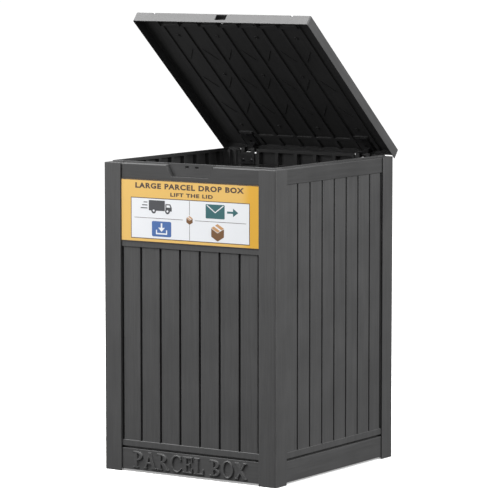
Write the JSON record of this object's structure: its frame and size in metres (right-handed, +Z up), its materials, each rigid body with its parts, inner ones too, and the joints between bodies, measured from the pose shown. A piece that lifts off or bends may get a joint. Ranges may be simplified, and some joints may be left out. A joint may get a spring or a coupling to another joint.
{
  "type": "parcel drop box",
  "caption": "Upright plank-sided outdoor box that takes delivered parcels through a wide hinged lid, with a finger recess and a label panel on the front.",
  "frame": {"origin": "on the floor, in the middle of the space the box takes up with its lid standing open", "axes": "+X to the right along the front, +Y from the front to the hinged back, +Z up"},
  "size_m": [0.58, 0.6374, 1.2759],
  "materials": {
    "resin": "charcoal moulded resin with a fine grain",
    "lid_resin": "charcoal moulded resin with a fine grain",
    "label": "printed sheet",
    "hinge_steel": "black coated steel",
    "screw_steel": "blackened"
  },
  "bodies": {
    "box": {"base_tray": "resin", "post_front_left": "resin", "post_front_right": "resin", "post_rear_right": "resin", "post_rear_left": "resin", "wall_front": "resin", "wall_rear": "resin", "wall_left": "resin", "wall_right": "resin", "rail_front": "resin", "rail_rear": "resin", "rail_left": "resin", "rail_right": "resin", "catch_striker": "resin", "label_plate": "label", "hinge_bracket_left": "hinge_steel", "hinge_bracket_right": "hinge_steel", "hinge_pin_left": "hinge_steel", "hinge_pin_right": "hinge_steel", "bracket_screw_left_1": "screw_steel", "bracket_screw_left_2": "screw_steel", "bracket_screw_right_1": "screw_steel", "bracket_screw_right_2": "screw_steel", "post_screw_front_left_a1": "screw_steel", "post_screw_front_left_a2": "screw_steel", "post_screw_front_left_b1": "screw_steel", "post_screw_front_left_b2": "screw_steel", "post_screw_front_right_a1": "screw_steel", "post_screw_front_right_a2": "screw_steel", "post_screw_front_right_b1": "screw_steel", "post_screw_front_right_b2": "screw_steel", "post_screw_rear_right_a1": "screw_steel", "post_screw_rear_right_a2": "screw_steel", "post_screw_rear_right_b1": "screw_steel", "post_screw_rear_right_b2": "screw_steel", "post_screw_rear_left_a1": "screw_steel", "post_screw_rear_left_a2": "screw_steel", "post_screw_rear_left_b1": "screw_steel", "post_screw_rear_left_b2": "screw_steel"},
    "lid": {"lid_shell": "lid_resin", "lid_catch": "lid_resin", "hinge_arm_left": "hinge_steel", "hinge_arm_right": "hinge_steel", "arm_screw_left_1": "screw_steel", "arm_screw_left_2": "screw_steel", "arm_screw_right_1": "screw_steel", "arm_screw_right_2": "screw_steel"}
  },
  "joints": [
    {"name": "lid_hinge", "type": "hinge", "parent": "box", "child": "lid", "pos_m": [0, 0.29026, 0.866], "axis": [-1, 0, 0], "range_deg": [-40, 55]}
  ]
}
